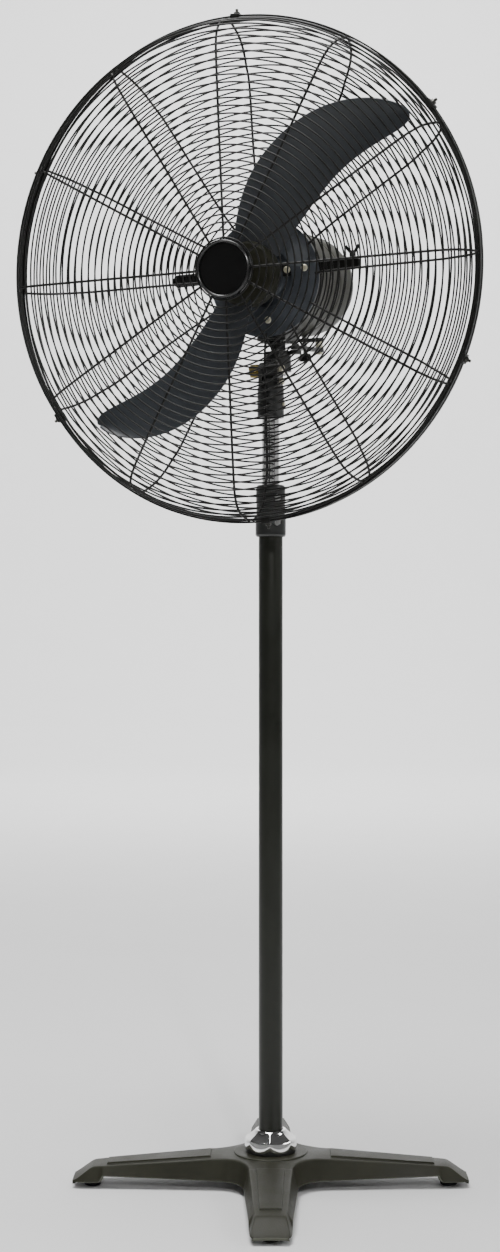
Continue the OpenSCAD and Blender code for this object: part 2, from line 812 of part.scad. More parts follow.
module hub_nut() {
    color([0.6, 0.6, 0.58]) on_fan_axis() difference() {
        translate([0, 0, prop_front + 15]) cylinder(r = 13, h = 8, $fn = hex);
        translate([0, 0, prop_front]) cylinder(r = shaft_r, h = 40);
    }
}

// Oscillation drive ----------------------------------------------------------

module lay_gear() {
    color([0.65, 0.55, 0.3]) on_fan_axis() translate([0, -lay_down, lay_front]) rotate([0, 90, 0]) {
        translate([0, 0, -29]) cylinder(r = 3, h = 58);
        translate([0, 0, -4.5]) cylinder(r = lay_wheel_r, h = 4);
        translate([0, 0, -0.5]) cylinder(r = lay_worm_r, h = 17);
    }
}

module output_shaft() {
    out_z = axis_up - lay_down;
    color([0.62, 0.6, 0.5]) in_neck() translate([crank_side, crank_back, 0]) {
        translate([0, 0, crank_foot]) cylinder(r = out_shaft_r, h = out_z - crank_foot + 5);
        translate([0, 0, knob_foot + 3]) cylinder(r = knob_shaft_r, h = crank_foot - knob_foot - 2);
        translate([0, 0, out_z - 4]) cylinder(r = out_wheel_r, h = 8);
    }
}

module crank_arm() {
    color([0.07, 0.07, 0.07]) in_neck() translate([crank_side, crank_back, crank_foot]) difference() {
        linear_extrude(arm_h) {
            circle(r = 9.5);
            translate([0, -6]) square([crank_r, 12]);
            translate([crank_r, 0]) circle(r = 8);
        }
        translate([0, 0, -1]) cylinder(r = out_shaft_r, h = 20);
        translate([crank_r, 0, -1]) cylinder(r = 3, h = 20);
    }
}

module crank_pin() {
    color([0.72, 0.62, 0.32]) at_crank_pin() {
        translate([0, 0, link_foot - 3]) cylinder(r = 4, h = 8);
        translate([0, 0, link_foot - 4]) cylinder(r = 6, h = 3.4);
        translate([0, 0, link_foot + link_h + 1]) cylinder(r = 6, h = crank_foot - link_foot - link_h - 1);
        translate([0, 0, crank_foot - 1]) cylinder(r = 3, h = arm_h + 1);
    }
}

module link_rod() {
    reach = crank_back - pivot_back;
    side = link_pin_out - crank_side - crank_r;
    color([0.07, 0.07, 0.07]) at_crank_pin() {
        translate([0, 0, link_foot]) difference() {
            linear_extrude(link_h) {
                circle(r = link_eye_r);
                translate([side, -reach]) circle(r = link_eye_r);
                polygon([[-6, 0], [6, 0], [side + 6, -reach], [side - 6, -reach]]);
            }
            translate([0, 0, -1]) cylinder(r = 4 + pin_gap, h = 20);
        }
        translate([side, -reach, link_foot + link_h]) cylinder(r = 6, h = 3, $fn = hex);
    }
}

module oscillation_knob() {
    color([0.05, 0.05, 0.05]) in_neck() translate([crank_side, crank_back, knob_foot]) difference() {
        union() {
            cylinder(r = 9, h = 12.5);
            for (a = [0:60:300]) rotate([0, 0, a]) translate([8, 0, 0]) cylinder(r = 2.6, h = 10);
        }
        translate([0, 0, 2.8]) cylinder(r = knob_shaft_r + pin_gap, h = 20);
    }
}

base_casting();
foot_pads();
base_bolt();
tube_plug();
chrome_collar();
outer_tube();
height_collar();
collar_bush();
clamp_screws();
inner_tube();
tube_guide();
neck_socket();
socket_screws();
tilt_bolt();
tilt_knob();
neck_body();
pivot_bush();
pivot_pin();
thrust_washer();
motor_mount();
mount_screws();
motor_shell();
front_bell();
rear_cover();
stator_core();
stator_windings();
motor_bearings();
capacitor();
gearbox_case();
gearbox_lid();
cable_gland();
speed_switch();
speed_knob();
support_arms();
flange_screws();
wing_nut();
rear_guard_plate();
rear_guard_rings();
rear_guard_spokes();
rim_band();
front_guard_rings();
front_guard_spokes();
guard_clips();
clip_screws();
badge();
badge_rim();
motor_shaft();
rotor_core();
drive_worm();
blade_hub();
blade_1();
blade_2();
blade_rivets();
hub_nut();
lay_gear();
output_shaft();
crank_arm();
crank_pin();
link_rod();
oscillation_knob();
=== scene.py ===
import json
import math

import bmesh
import bpy
from mathutils import Matrix, Vector

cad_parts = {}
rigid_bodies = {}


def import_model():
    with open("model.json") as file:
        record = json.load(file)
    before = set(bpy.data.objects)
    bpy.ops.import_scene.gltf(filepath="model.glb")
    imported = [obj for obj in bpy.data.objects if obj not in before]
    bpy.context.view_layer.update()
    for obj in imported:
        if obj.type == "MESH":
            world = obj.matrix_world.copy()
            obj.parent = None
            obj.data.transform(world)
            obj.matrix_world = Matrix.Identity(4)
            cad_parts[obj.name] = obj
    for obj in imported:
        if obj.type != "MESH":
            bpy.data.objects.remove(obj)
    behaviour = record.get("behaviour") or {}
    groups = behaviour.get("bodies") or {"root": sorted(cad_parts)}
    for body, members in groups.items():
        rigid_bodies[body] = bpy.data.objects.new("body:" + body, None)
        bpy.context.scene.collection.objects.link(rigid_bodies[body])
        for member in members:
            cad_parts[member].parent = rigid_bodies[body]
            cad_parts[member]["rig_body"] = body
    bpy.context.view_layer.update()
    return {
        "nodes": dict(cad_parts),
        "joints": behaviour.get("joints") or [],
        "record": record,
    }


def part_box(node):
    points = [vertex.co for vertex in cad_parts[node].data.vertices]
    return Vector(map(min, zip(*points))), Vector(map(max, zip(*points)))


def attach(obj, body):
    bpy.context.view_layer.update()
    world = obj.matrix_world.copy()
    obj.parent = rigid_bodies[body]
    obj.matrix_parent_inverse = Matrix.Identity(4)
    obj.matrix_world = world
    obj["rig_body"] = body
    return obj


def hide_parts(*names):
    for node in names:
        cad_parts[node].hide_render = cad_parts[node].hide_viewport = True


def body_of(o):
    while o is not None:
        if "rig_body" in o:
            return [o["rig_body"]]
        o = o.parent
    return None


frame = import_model()

# Frames ---------------------------------------------------------------------
# Lengths are in metres. The fan frame has X right, Y up and Z ahead along the
# shaft, and starts on the shaft's line above the tilt hinge.

JOINTS = {joint["name"]: joint for joint in frame["joints"]}
AHEAD = Vector(JOINTS["rotor_spin"]["axis"]).normalized()
UP = Vector(JOINTS["oscillation"]["axis"]).normalized()
RIGHT = UP.cross(AHEAD)
HINGE = Vector(JOINTS["tilt"]["pos_m"])
PROP = Vector(JOINTS["rotor_spin"]["pos_m"])
PROP_FRONT = (PROP - HINGE).dot(AHEAD)


def frame_matrix(x, y, z, origin):
    return Matrix.Translation(origin) @ Matrix((x, y, z)).transposed().to_4x4()


FAN = frame_matrix(RIGHT, UP, AHEAD, PROP - AHEAD * PROP_FRONT)
FLOOR = Matrix.Identity(4)


def turned(angle, axis="Z"):
    return Matrix.Rotation(math.radians(angle), 4, axis)


def moved(x=0.0, y=0.0, z=0.0):
    return Matrix.Translation((x, y, z))


# Materials ------------------------------------------------------------------

COAT_ROUGHNESS = 0.12
GRAIN_DEPTH = 0.0006
PATCH_GLOSS = 0.06
GRAIN_GLOSS = 0.03
WORN_SHARE = 0.7
WORN_EDGES = (0.515, 0.56)
# Places of the colour sockets among a mix node's inputs and outputs.
COLOR_A, COLOR_B, COLOR_RESULT = 6, 7, 2


def add_noise(nodes, links, where, scale, detail, rough=0.55):
    noise = nodes.new("ShaderNodeTexNoise")
    noise.inputs["Scale"].default_value = scale
    noise.inputs["Detail"].default_value = detail
    noise.inputs["Roughness"].default_value = rough
    links.new(where, noise.inputs["Vector"])
    return noise.outputs["Fac"]


def spread(nodes, links, value, low, high, start=0.3, end=0.7):
    ranged = nodes.new("ShaderNodeMapRange")
    ranged.inputs["From Min"].default_value = start
    ranged.inputs["From Max"].default_value = end
    ranged.inputs["To Min"].default_value = low
    ranged.inputs["To Max"].default_value = high
    links.new(value, ranged.inputs["Value"])
    return ranged.outputs["Result"]


def mix_colors(nodes, links, factor, first, second):
    mix = nodes.new("ShaderNodeMix")
    mix.data_type = "RGBA"
    links.new(factor, mix.inputs["Factor"])
    for socket, color in ((mix.inputs[COLOR_A], first), (mix.inputs[COLOR_B], second)):
        if isinstance(color, bpy.types.NodeSocket):
            links.new(color, socket)
        else:
            socket.default_value = (*color, 1)
    return mix.outputs[COLOR_RESULT]


def finish(slot, color, roughness, metallic=0.0, coat=0.0, grain=900, relief=0.1, mottle=0.25,
           patches=14, worn=None, stretch=(1, 1, 1), specular=0.5):
    """A paint, metal, rubber or plastic with patches of tone and gloss and a fine grain.

    Where worn is a colour, the edges are rubbed to it.
    """
    material = bpy.data.materials.new(slot)
    material.use_nodes = True
    nodes = material.node_tree.nodes
    links = material.node_tree.links
    shader = nodes["Principled BSDF"]
    shader.inputs["Metallic"].default_value = metallic
    shader.inputs["Coat Weight"].default_value = coat
    shader.inputs["Coat Roughness"].default_value = COAT_ROUGHNESS
    shader.inputs["Specular IOR Level"].default_value = specular

    place = nodes.new("ShaderNodeTexCoord").outputs["Object"]
    mapping = nodes.new("ShaderNodeMapping")
    mapping.inputs["Scale"].default_value = stretch
    links.new(place, mapping.inputs["Vector"])
    where = mapping.outputs["Vector"]

    tone = add_noise(nodes, links, where, patches, 6)
    fine = add_noise(nodes, links, where, grain, 3, 0.6)
    dark = [c * (1 - mottle) for c in color]
    light = [min(1, c * (1 + mottle)) for c in color]
    shade = mix_colors(nodes, links, spread(nodes, links, tone, 0, 1), dark, light)
    if worn:
        edges = nodes.new("ShaderNodeNewGeometry").outputs["Pointiness"]
        rubbed = spread(nodes, links, edges, 0, WORN_SHARE, *WORN_EDGES)
        shade = mix_colors(nodes, links, rubbed, shade, worn)
    links.new(shade, shader.inputs["Base Color"])

    gloss = nodes.new("ShaderNodeMath")
    gloss.operation = "ADD"
    links.new(spread(nodes, links, tone, roughness - PATCH_GLOSS, roughness + PATCH_GLOSS),
              gloss.inputs[0])
    links.new(spread(nodes, links, fine, -GRAIN_GLOSS, GRAIN_GLOSS), gloss.inputs[1])
    links.new(gloss.outputs["Value"], shader.inputs["Roughness"])

    bump = nodes.new("ShaderNodeBump")
    bump.inputs["Strength"].default_value = relief
    bump.inputs["Distance"].default_value = GRAIN_DEPTH
    links.new(fine, bump.inputs["Height"])
    links.new(bump.outputs["Normal"], shader.inputs["Normal"])
    return material


MATERIALS = {
    "cast_black": finish(
        "cast_black", (0.021, 0.021, 0.013), 0.48, grain=420, relief=0.4, mottle=0.16, patches=22,
        specular=0.24, worn=(0.12, 0.125, 0.10)),
    "tube_black": finish(
        "tube_black", (0.012, 0.013, 0.009), 0.34, grain=1500, relief=0.06, mottle=0.2, patches=9,
        specular=0.3),
    "head_black": finish(
        "head_black", (0.016, 0.017, 0.016), 0.4, relief=0.16, worn=(0.08, 0.08, 0.075)),
    "guard_wire": finish(
        "guard_wire", (0.006, 0.006, 0.005), 0.45, grain=1400, relief=0.05, specular=0.3),
    "motor_paint": finish(
        "motor_paint", (0.022, 0.022, 0.014), 0.42, grain=1100, mottle=0.1, patches=18,
        specular=0.18, worn=(0.1, 0.1, 0.085)),
    # Painted light: the bell's lighter blue-grey, a lighter copy of the black motor paint, stands
    # in for the light that the motor's front face catches. The rubbed edges are wear.
    "bell_paint": finish(
        "bell_paint", (0.062, 0.07, 0.082), 0.4, metallic=0.3, grain=800, relief=0.14, patches=25,
        worn=(0.16, 0.17, 0.18)),
    "blade_paint": finish(
        "blade_paint", (0.026, 0.030, 0.035), 0.4, grain=1300, relief=0.05, mottle=0.12, patches=6),
    "black_plastic": finish(
        "black_plastic", (0.008, 0.008, 0.008), 0.26, coat=0.2, grain=1800, relief=0.03,
        mottle=0.1),
    "badge_black": finish(
        "badge_black", (0.003, 0.003, 0.003), 0.5, grain=1800, relief=0.02, mottle=0.1,
        specular=0.12),
    "screw_black": finish(
        "screw_black", (0.05, 0.05, 0.045), 0.3, metallic=0.8, grain=1400, relief=0.05),
    "rubber": finish("rubber", (0.014, 0.014, 0.013), 0.78, grain=700, relief=0.25),
    "nylon": finish("nylon", (0.55, 0.54, 0.5), 0.5, relief=0.08, mottle=0.08),
    "chrome": finish(
        "chrome", (0.86, 0.86, 0.85), 0.09, metallic=1.0, grain=500, relief=0.015, mottle=0.04,
        patches=30),
    "steel": finish(
        "steel", (0.45, 0.45, 0.44), 0.32, metallic=1.0, grain=1500, relief=0.08, mottle=0.15,
        patches=60),
    "zinc": finish(
        "zinc", (0.74, 0.70, 0.55), 0.38, metallic=0.7, grain=1200, relief=0.06, mottle=0.12,
        patches=160),
    "brass": finish("brass", (0.32, 0.25, 0.09), 0.36, metallic=1.0, mottle=0.3, patches=120),
    "laminations": finish(
        "laminations", (0.3, 0.3, 0.31), 0.45, metallic=1.0, grain=1500, relief=0.2,
        stretch=(0.1, 1, 0.1)),
    "copper": finish("copper", (0.55, 0.22, 0.09), 0.35, metallic=1.0, grain=1200, relief=0.3),
    "gear_alloy": finish(
        "gear_alloy", (0.35, 0.35, 0.33), 0.45, metallic=0.9, grain=700, relief=0.2),
}
for part in frame["record"]["subparts"]:
    cad_node = frame["nodes"][part["node"]]
    cad_node.data.materials.clear()
    cad_node.data.materials.append(MATERIALS[part["material_slot"]])


# Mesh builders --------------------------------------------------------------

MERGE = 1e-6
# Profiles of closed turned forms start this near the axis.
CORE = 0.0001


def piece(name, shape, place, body, slot, replaced=(), sharp=35, modifiers=(), look=None):
    """A mesh object from (points, faces) in the given frame, riding on a CAD body.

    Its look is the material of its slot, unless another is named.
    """
    points, faces = shape
    data = bpy.data.meshes.new(name)
    data.from_pydata([place @ Vector(p) for p in points], [], faces)
    work = bmesh.new()
    work.from_mesh(data)
    bmesh.ops.remove_doubles(work, verts=work.verts, dist=MERGE)
    bmesh.ops.recalc_face_normals(work, faces=work.faces)
    work.to_mesh(data)
    work.free()
    data.shade_smooth()
    data.set_sharp_from_angle(angle=math.radians(sharp))
    data.materials.append(MATERIALS[look or slot])
    obj = bpy.data.objects.new(name, data)
    bpy.context.scene.collection.objects.link(obj)
    for kind, settings in modifiers:
        modifier = obj.modifiers.new(kind.title(), kind)
        for key, value in settings.items():
            setattr(modifier, key, value)
    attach(obj, body)
    if replaced:
        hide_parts(*replaced)
    return obj


def refined(node, width=0.0006):
    """A copy of a CAD node with flat faces made whole and rounded edges, in the node's place."""
    source = frame["nodes"][node]
    work = bmesh.new()
    work.from_mesh(source.data)
    bmesh.ops.remove_doubles(work, verts=work.verts, dist=MERGE)
    bmesh.ops.dissolve_limit(work, angle_limit=math.radians(1), verts=work.verts, edges=work.edges)
    work.verts.ensure_lookup_table()
    points = [v.co.copy() for v in work.verts]
    faces = [[v.index for v in face.verts] for face in work.faces]
    work.free()
    part = next(p for p in frame["record"]["subparts"] if p["node"] == node)
    return piece(node + "_piece", (points, faces), FLOOR, body_of(source)[0],
                 part["material_slot"], [node], modifiers=[bevelled(width)])


def bevelled(width, segments=3, angle=30):
    return ("BEVEL", {"width": width, "segments": segments, "limit_method": "ANGLE",
                      "angle_limit": math.radians(angle), "use_clamp_overlap": True})


def subdivided(levels):
    return ("SUBSURF", {"levels": levels, "render_levels": levels})


def join(*shapes):
    points = []
    faces = []
    for more_points, more_faces in shapes:
        start = len(points)
        points += [tuple(p) for p in more_points]
        faces += [[start + i for i in face] for face in more_faces]
    return points, faces


def put(shape, place):
    points, faces = shape
    return [tuple(place @ Vector(p)) for p in points], faces


def repeat(shape, places):
    return join(*[put(shape, place) for place in places])


def grid(rows, closed_rows=False, closed_columns=False):
    """Quads between rows of points that all have the same count."""
    count = len(rows[0])
    points = [p for row in rows for p in row]
    faces = []
    for i in range(len(rows) if closed_rows else len(rows) - 1):
        for j in range(count if closed_columns else count - 1):
            k = (i + 1) % len(rows)
            m = (j + 1) % count
            faces.append([i * count + j, i * count + m, k * count + m, k * count + j])
    return points, faces


def rounded(outline, radius, steps=4, closed=False):
    """The outline with its corners turned into arcs, which are smaller on short edges."""
    result = []
    count = len(outline)
    for i, corner in enumerate(outline):
        here = Vector(corner)
        if not closed and i in (0, count - 1):
            result.append(tuple(here))
            continue
        before = Vector(outline[i - 1]) - here
        after = Vector(outline[(i + 1) % count]) - here
        half = before.angle(after) / 2
        cut = min(radius / math.tan(half), 0.49 * before.length, 0.49 * after.length)
        start = here + before.normalized() * cut
        end = here + after.normalized() * cut
        for step in range(steps + 1):
            t = step / steps
            result.append(tuple(start * (1 - t) ** 2 + here * 2 * t * (1 - t) + end * t ** 2))
    return result


def revolve(profile, segments=96, closed=False):
    """Turns (radius, height) points about Z."""
    rows = []
    for i in range(segments):
        a = 2 * math.pi * i / segments
        rows.append([(r * math.cos(a), r * math.sin(a), z) for r, z in profile])
    return grid(rows, closed_rows=True, closed_columns=closed)


def prism(outline, low, high):
    count = len(outline)
    points = [(x, y, low) for x, y in outline] + [(x, y, high) for x, y in outline]
    faces = [list(range(count))[::-1], list(range(count, 2 * count))]
    faces += [[i, (i + 1) % count, count + (i + 1) % count, count + i] for i in range(count)]
    return points, faces


def circle(radius, count, x=0.0, y=0.0, start=0.0, sweep=360.0):
    last = count if sweep == 360.0 else count - 1
    return [(x + radius * math.cos(math.radians(start + sweep * i / last)),
             y + radius * math.sin(math.radians(start + sweep * i / last))) for i in range(count)]


def ring_wire(radius, height, wire, segments=192, sides=10):
    section = [(radius + wire * math.cos(2 * math.pi * k / sides),
                height + wire * math.sin(2 * math.pi * k / sides)) for k in range(sides)]
    return revolve(section, segments, closed=True)


def wire_along(path, wire, sides=10):
    """A round wire with flat ends along a path that lies in one plane through Z."""
    rows = []
    for i, point in enumerate(path):
        before = Vector(path[max(i - 1, 0)])
        after = Vector(path[min(i + 1, len(path) - 1)])
        along = (after - before).normalized()
        side = along.cross(Vector((0, 0, 1))).normalized()
        lift = side.cross(along)
        rows.append([tuple(Vector(point) + wire * (math.cos(2 * math.pi * k / sides) * side
                                                   + math.sin(2 * math.pi * k / sides) * lift))
                     for k in range(sides)])
    points, faces = grid(rows, closed_columns=True)
    last = len(points) - sides
    return points, faces + [list(range(sides))[::-1], list(range(last, last + sides))]


def smooth_curve(points, per_span=10):
    """Points on a Catmull-Rom curve through the given (radius, height) points."""
    ends = [2 * Vector(points[0]) - Vector(points[1]), 2 * Vector(points[-1]) - Vector(points[-2])]
    knots = [ends[0]] + [Vector(p) for p in points] + [ends[1]]
    result = []
    for i in range(1, len(knots) - 2):
        p0, p1, p2, p3 = knots[i - 1:i + 3]
        for step in range(per_span):
            t = step / per_span
            result.append(tuple(0.5 * (2 * p1 + (p2 - p0) * t
                                       + (2 * p0 - 5 * p1 + 4 * p2 - p3) * t ** 2
                                       + (3 * p1 - p0 - 3 * p2 + p3) * t ** 3)))
    result.append(tuple(knots[-2]))
    return result


def height_at(curve, radius):
    """The height of a (radius, height) curve at the radius."""
    for (r0, z0), (r1, z1) in zip(curve, curve[1:]):
        if r0 <= radius <= r1:
            return z0 + (z1 - z0) * (radius - r0) / (r1 - r0)
    return curve[-1][1]


def cross_head(radius, height, slot_width, depth):
    """A round screw head with a cross recess, on the plane z = 0."""
    flat = 0.75 * radius
    dome = rounded([(CORE, height), (flat, height), (radius, 0.55 * height), (radius, 0)],
                   0.3 * radius, 3)
    arm = 0.62 * radius
    half = slot_width / 2
    cross = [(arm, -half), (arm, half), (half, half), (half, arm), (-half, arm), (-half, half),
             (-arm, half), (-arm, -half), (-half, -half), (-half, -arm), (half, -arm),
             (half, -half)]
    floor = height - depth
    rim = circle(flat, len(cross), start=-math.degrees(math.atan2(half, arm)))
    body = revolve(dome[1:], 48)
    walls = grid([[(*p, height) for p in cross], [(*p, floor) for p in cross]], closed_columns=True)
    top = grid([[(*p, height) for p in rim], [(*p, height) for p in cross]], closed_columns=True)
    base = ([(*p, floor) for p in cross], [list(range(len(cross)))])
    return join(body, top, walls, base)


def hex_head(radius, height):
    """A hexagon head with its top corners turned off."""
    rows = []
    for share, z in ((1.0, 0.0), (1.0, 0.82 * height), (0.9, height)):
        rows.append([(share * x, share * y, z) for x, y in circle(radius, 6)])
    points, faces = grid(rows, closed_columns=True)
    return points, faces + [list(range(6))[::-1], list(range(12, 18))]


# Base -----------------------------------------------------------------------

LEG_ANGLES = [-67.5 + 90 * k for k in range(4)]
LEG_REACH = 0.310
HUB_TOP = 0.052
HUB_HALF = 0.044
# The top falls this much from the hub to where the nose starts.
LEG_FALL = 0.018
NOSE_START = 0.276
# The last of the nose is blunted across.
BLUNT_START = 0.297
BLUNT_LENGTH = 0.013
BLUNT_SHARE = 0.16
# The fillet between two legs, and half the width of a leg where it leaves it.
FILLET = 0.048
HALF_FOOT = 0.0415
TAPER = math.tan(math.radians(3.1))
# How far the flanks lean in, and how much the top falls to its edges.
LEAN = 0.0085
CROWN = 0.0006
# The lower edge rises from the hub to the heel, then steps down to the nose.
SKIRT_LOW = 0.0155
SKIRT_RISE = 0.0060
SKIRT_START = 0.09
HEEL_AT = 0.263
HEEL_STEP = 0.005
NOSE_LOW = 0.0108
NOSE_EDGE = 0.0015
FOOT_AT = 0.280
BOSS_LOW = 0.012
SHELL_THICKNESS = 0.005
# The raised panel: its share of the half width, its span and how far it stands up.
PANEL_SHARE = 0.655
PANEL_SPAN = (0.0945, 0.2555)
PANEL_LIFT = 0.0028
PANEL_EDGE = 0.0008
TOP_SHARES = [0, 0.3, 0.6, PANEL_SHARE - 0.02, PANEL_SHARE, PANEL_SHARE + 0.02,
              PANEL_SHARE + 0.04, 0.8, 0.9, 1]
FLANK_SHARES = [0.1, 0.5, 0.86, 1]


def leg_height(x):
    return HUB_TOP - max(0, x - HUB_HALF) * LEG_FALL / (NOSE_START - HUB_HALF)


def leg_skirt(x):
    """The flank's lower edge, which rises along the leg and steps down to the nose."""
    rising = SKIRT_LOW + SKIRT_RISE * max(0, x - SKIRT_START) / (HEEL_AT - SKIRT_START)
    step = min(1, max(0, (x - HEEL_AT) / HEEL_STEP))
    return rising + (NOSE_LOW - rising) * step


def leg_stations():
    """Stations along the straight part of a leg: distance from the column and top height."""
    start, end = PANEL_SPAN
    edge = PANEL_EDGE
    straight = [start - 2 * edge, start - edge, start, start + edge, 0.13, 0.17, 0.21, end - 0.01,
                end - edge, end, end + edge, end + 2 * edge, HEEL_AT - 0.001, HEEL_AT + 0.001,
                HEEL_AT + 0.004, HEEL_AT + 0.006, NOSE_START]
    for x in straight:
        yield x, leg_height(x)
    low = leg_skirt(LEG_REACH) + NOSE_EDGE
    for x, share in ((0.280, 0.95), (0.290, 0.62), (0.300, 0.27), (0.307, 0.06), (LEG_REACH, 0)):
        yield x, low + (leg_height(NOSE_START) - low) * share


def fillet_row(share):
    """Points across a leg beside the fillet, from the hub's corner (share 0) to the leg (1)."""
    centre = HALF_FOOT + FILLET
    a = math.radians(225 + 45 * share)

    def edge(lean):
        reach = FILLET + lean
        return Vector((centre + reach * math.cos(a), centre + reach * math.sin(a)))

    shoulder = edge(LEAN)
    middle = Vector((centre * share, 0))
    row = []
    for t in TOP_SHARES:
        spot = middle.lerp(shoulder, t)
        row.append((spot.x, spot.y, leg_height(spot.length) - CROWN * t * t))
    top = row[-1][2]
    for u in FLANK_SHARES:
        spot = edge(LEAN * (1 - u))
        row.append((spot.x, spot.y, top + (leg_skirt(0) - top) * u))
    return row


def leg_row(x, height):
    """Points across a leg at a distance from the column, over its shoulder and down its flank."""
    blunt = 1 - BLUNT_SHARE * max(0, (x - BLUNT_START) / BLUNT_LENGTH) ** 2
    foot = (HALF_FOOT - (x - HALF_FOOT - FILLET) * TAPER) * blunt
    skirt = leg_skirt(x)
    lean = LEAN * min(1, (height - skirt) / (leg_height(x) - skirt))
    row = []
    for t in TOP_SHARES:
        on_panel = PANEL_SPAN[0] <= x <= PANEL_SPAN[1] and t <= PANEL_SHARE + 0.001
        lift = PANEL_LIFT if on_panel else 0
        row.append((x, (foot - lean) * t, height + lift - CROWN * t * t))
    for u in FLANK_SHARES:
        row.append((x, foot - lean * (1 - u), height + (skirt - height) * u))
    return row


def base_shape():
    """The top skin of the casting. Each leg is one half and its mirror image."""
    rows = [fillet_row(step / 8) for step in range(9)]
    rows += [leg_row(x, height) for x, height in leg_stations()]
    points, faces = grid(rows)
    mirror = Matrix.Scale(-1, 4, (0, 1, 0))
    other = ([tuple(mirror @ Vector(p)) for p in points], [face[::-1] for face in faces])
    return repeat(join((points, faces), other), [turned(a) for a in LEG_ANGLES])


def hub_disc():
    outline = [(0.030, HUB_TOP - 0.004), (0.030, HUB_TOP + 0.0006), (0.0575, HUB_TOP + 0.0006),
               (0.0590, HUB_TOP - 0.005)]
    return revolve(rounded(outline, 0.0015), 128)


def base_bosses():
    """The boss round the column and those over the pads, inside the casting."""
    outline = [(0.0192, BOSS_LOW), (0.030, BOSS_LOW), (0.033, HUB_TOP - 0.0035)]
    hub = revolve(rounded(outline, 0.002), 64)
    foot = revolve([(CORE, BOSS_LOW), (0.012, BOSS_LOW), (0.010, 0.019), (CORE, 0.019)], 40)
    return join(hub, repeat(foot, [turned(a) @ moved(FOOT_AT) for a in LEG_ANGLES]))


def foot_pad():
    outline = [(CORE, 0.0125), (0.0125, 0.0125), (0.0135, 0.0025), (0.0125, 0), (CORE, 0)]
    return revolve(rounded(outline, 0.0012), 48)


def build_base():
    base = piece("cast_base", base_shape(), FLOOR, "stand", "cast_black", ["base_casting"],
                 sharp=80, modifiers=[
                     subdivided(2), ("SOLIDIFY", {"thickness": SHELL_THICKNESS, "offset": -1})])
    if base.data.polygons[0].normal.z < 0:
        base.data.flip_normals()
    piece("hub_disc", hub_disc(), FLOOR, "stand", "cast_black")
    piece("base_bosses", base_bosses(), FLOOR, "stand", "cast_black")
    pads = repeat(foot_pad(), [turned(a) @ moved(FOOT_AT) for a in LEG_ANGLES])
    piece("rubber_feet", pads, FLOOR, "stand", "rubber", ["foot_pads"])


# Column ---------------------------------------------------------------------

LOBES = 7
LOBE_START = 0.35
COLLAR_HEIGHT = 0.0300
COLLAR_WAVE = 0.0050
SEAT_TOP = HUB_TOP + 0.0155


def chrome_collar():
    """A pressed cover whose cone has seven hollow petals and a wavy lower edge."""
    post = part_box("outer_tube")[1].x + 0.0006
    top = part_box("chrome_collar")[1].z
    # Radius between petals, how much less it is in a hollow, and depth below the top.
    cone = [(0.0262, 0.0006, 0.003), (0.0290, 0.0022, 0.0055), (0.0335, 0.0040, 0.0085),
            (0.0378, 0.0044, 0.0115), (0.0402, 0.0028, 0.0138), (0.0412, 0.0012, 0.0162)]
    rows = []
    count = 48 * LOBES
    for i in range(count):
        a = 2 * math.pi * i / count
        turn = (LOBES * a / (2 * math.pi) + LOBE_START) % 1
        hollow = math.sin(math.pi * turn) ** 0.7
        low = top - COLLAR_HEIGHT + COLLAR_WAVE * (1 - hollow)
        profile = [(post, top - 0.004), (post, top), (0.0228, top), (0.0246, top - 0.0012)]
        profile += [(r - less * hollow, top - depth) for r, less, depth in cone]
        profile += [(0.0413 - 0.0004 * hollow, low + 0.0012), (0.0406, low), (0.0398, low + 0.001),
                    (0.0392, top - 0.020)]
        rows.append([(r * math.cos(a), r * math.sin(a), z) for r, z in profile])
    return grid(rows, closed_rows=True)


def collar_seat():
    outline = [(0.0200, HUB_TOP), (0.0388, HUB_TOP), (0.0384, SEAT_TOP), (0.0200, SEAT_TOP)]
    return revolve(rounded(outline, 0.001), 96)


def tube_shape(outer, wall, low, high):
    inner = outer - wall
    outline = rounded([(inner, low), (outer, low), (outer, high), (inner, high)], 0.0006,
                      closed=True)
    return revolve(outline, 128, closed=True)


def height_collar():
    low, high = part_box("height_collar")
    outline = [(0.0193, low.z), (0.0222, low.z), (0.0240, low.z + 0.003),
               (0.0240, low.z + 0.030), (0.0226, low.z + 0.035), (0.0226, low.z + 0.052),
               (0.0232, low.z + 0.054), (0.0232, high.z - 0.006), (0.0218, high.z - 0.001),
               (0.0200, high.z), (0.0146, high.z)]
    return revolve(rounded(outline, 0.0012), 96)


def build_column():
    low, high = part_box("outer_tube")
    piece("lower_tube", tube_shape(high.x, 0.002, low.z, high.z), FLOOR, "stand", "tube_black",
          ["outer_tube"])
    piece("petal_collar", chrome_collar(), FLOOR, "stand", "chrome", ["chrome_collar"], sharp=50)
    piece("collar_seat", collar_seat(), FLOOR, "stand", "head_black")
    piece("clamp_collar", height_collar(), FLOOR, "stand", "head_black", ["height_collar"])
    low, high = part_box("inner_tube")
    piece("upper_tube", tube_shape(high.x, 0.0015, low.z, high.z), FLOOR, "mast", "chrome",
          ["inner_tube"])


# Cage -----------------------------------------------------------------------

RIM = 0.380
RIM_FRONT = 0.110
BAND_HALF = 0.008
# Radii of the ring wires, of the end rings and of the spokes.
WIRE = 0.00135
END_WIRE = 0.0020
SPOKE = 0.0019
RING_PITCH = 0.0113
RING_END = 0.375
# Where the rings and the spokes start, and how far the spokes are turned.
FRONT_RINGS_START = 0.046
REAR_RINGS_START = 0.096
FRONT_SPOKES_START = 0.040
REAR_SPOKES_START = 0.084
FRONT_ROLL = 0.6
REAR_ROLL = 1.0
SPOKES = 12
WELD = 0.0003
CLIP_ANGLES = (35.5, 88.8, 152.6, 213, 275, 337)
CLIP_HALF = 0.007
